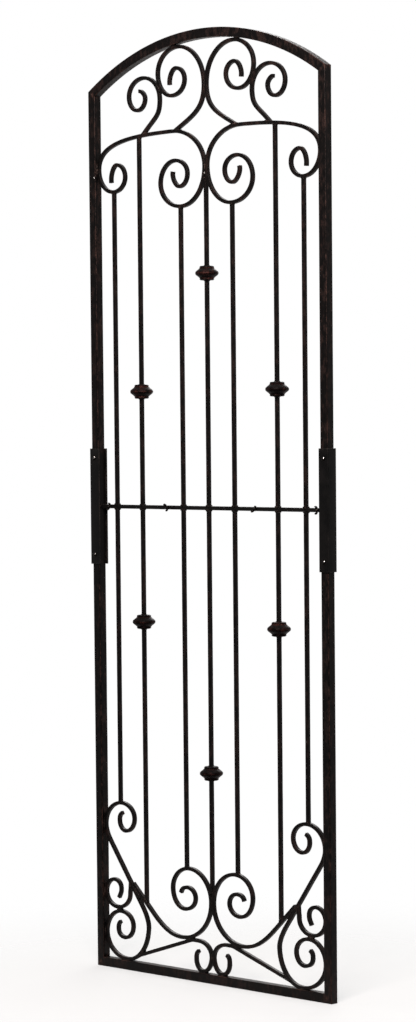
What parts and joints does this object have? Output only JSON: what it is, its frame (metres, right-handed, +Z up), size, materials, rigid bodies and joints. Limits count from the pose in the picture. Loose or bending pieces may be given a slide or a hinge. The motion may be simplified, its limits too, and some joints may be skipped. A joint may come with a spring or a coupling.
{
  "type": "garden gate",
  "caption": "Arched wrought-style garden gate leaf of square tube with scrolls, square bars and knuckle collars, made as two halves bolted together at mid height.",
  "frame": {"origin": "on the ground, midway between the two stiles and midway between the front and the back of the leaf", "axes": "+Z up, along the stiles. +X along the leaf, towards the stile on the right when seen from the front. +Y from the front to the back"},
  "size_m": [0.717, 0.05, 2.032],
  "materials": {
    "bronze_finish": "semi-matte dark antique bronze coat, rubbed through to red-brown at edges and welds",
    "black_finish": "semi-matte black coat",
    "blackened_steel": "blackened steel with bright worn spots on the heads and wings"
  },
  "bodies": {
    "gate_leaf": {"arch_rail": "bronze_finish", "bottom_rail": "bronze_finish", "upper_left_stile": "bronze_finish", "upper_right_stile": "bronze_finish", "lower_left_stile": "bronze_finish", "lower_right_stile": "bronze_finish", "left_shoulder_scroll": "bronze_finish", "right_shoulder_scroll": "bronze_finish", "left_crown_scroll": "bronze_finish", "right_crown_scroll": "bronze_finish", "left_side_crown_scroll": "bronze_finish", "right_side_crown_scroll": "bronze_finish", "left_base_scroll": "bronze_finish", "right_base_scroll": "bronze_finish", "left_corner_curl": "bronze_finish", "right_corner_curl": "bronze_finish", "left_corner_scroll": "bronze_finish", "right_corner_scroll": "bronze_finish", "left_lying_scroll": "bronze_finish", "right_lying_scroll": "bronze_finish", "upper_bar_1": "bronze_finish", "upper_bar_2": "bronze_finish", "upper_bar_3": "bronze_finish", "upper_bar_4": "bronze_finish", "upper_bar_5": "bronze_finish", "upper_bar_6": "bronze_finish", "upper_bar_7": "bronze_finish", "lower_bar_1": "bronze_finish", "lower_bar_2": "bronze_finish", "lower_bar_3": "bronze_finish", "lower_bar_4": "bronze_finish", "lower_bar_5": "bronze_finish", "lower_bar_6": "bronze_finish", "lower_bar_7": "bronze_finish", "upper_collar_2": "bronze_finish", "upper_collar_4": "bronze_finish", "upper_collar_6": "bronze_finish", "lower_collar_2": "bronze_finish", "lower_collar_4": "bronze_finish", "lower_collar_6": "bronze_finish", "upper_cross_strip": "black_finish", "lower_cross_strip": "black_finish", "left_splice_channel": "black_finish", "right_splice_channel": "black_finish", "left_upper_splice_bolt": "blackened_steel", "left_lower_splice_bolt": "blackened_steel", "right_upper_splice_bolt": "blackened_steel", "right_lower_splice_bolt": "blackened_steel", "left_upper_splice_nut": "blackened_steel", "left_lower_splice_nut": "blackened_steel", "right_upper_splice_nut": "blackened_steel", "right_lower_splice_nut": "blackened_steel", "strip_screw_1": "blackened_steel", "strip_screw_2": "blackened_steel", "strip_screw_3": "blackened_steel", "strip_screw_4": "blackened_steel"},
    "turning_nut_1": {"wing_nut_1": "blackened_steel"},
    "turning_nut_2": {"wing_nut_2": "blackened_steel"},
    "turning_nut_3": {"wing_nut_3": "blackened_steel"},
    "turning_nut_4": {"wing_nut_4": "blackened_steel"}
  },
  "joints": [
    {"name": "wing_nut_turn_1", "type": "hinge", "parent": "gate_leaf", "child": "turning_nut_1", "pos_m": [-0.305, 0, 1.02], "axis": [0, -1, 0], "continuous": true},
    {"name": "wing_nut_turn_2", "type": "hinge", "parent": "gate_leaf", "child": "turning_nut_2", "pos_m": [-0.124, 0, 1.02], "axis": [0, -1, 0], "continuous": true},
    {"name": "wing_nut_turn_3", "type": "hinge", "parent": "gate_leaf", "child": "turning_nut_3", "pos_m": [0.142, 0, 1.02], "axis": [0, -1, 0], "continuous": true},
    {"name": "wing_nut_turn_4", "type": "hinge", "parent": "gate_leaf", "child": "turning_nut_4", "pos_m": [0.321, 0, 1.02], "axis": [0, -1, 0], "continuous": true}
  ]
}
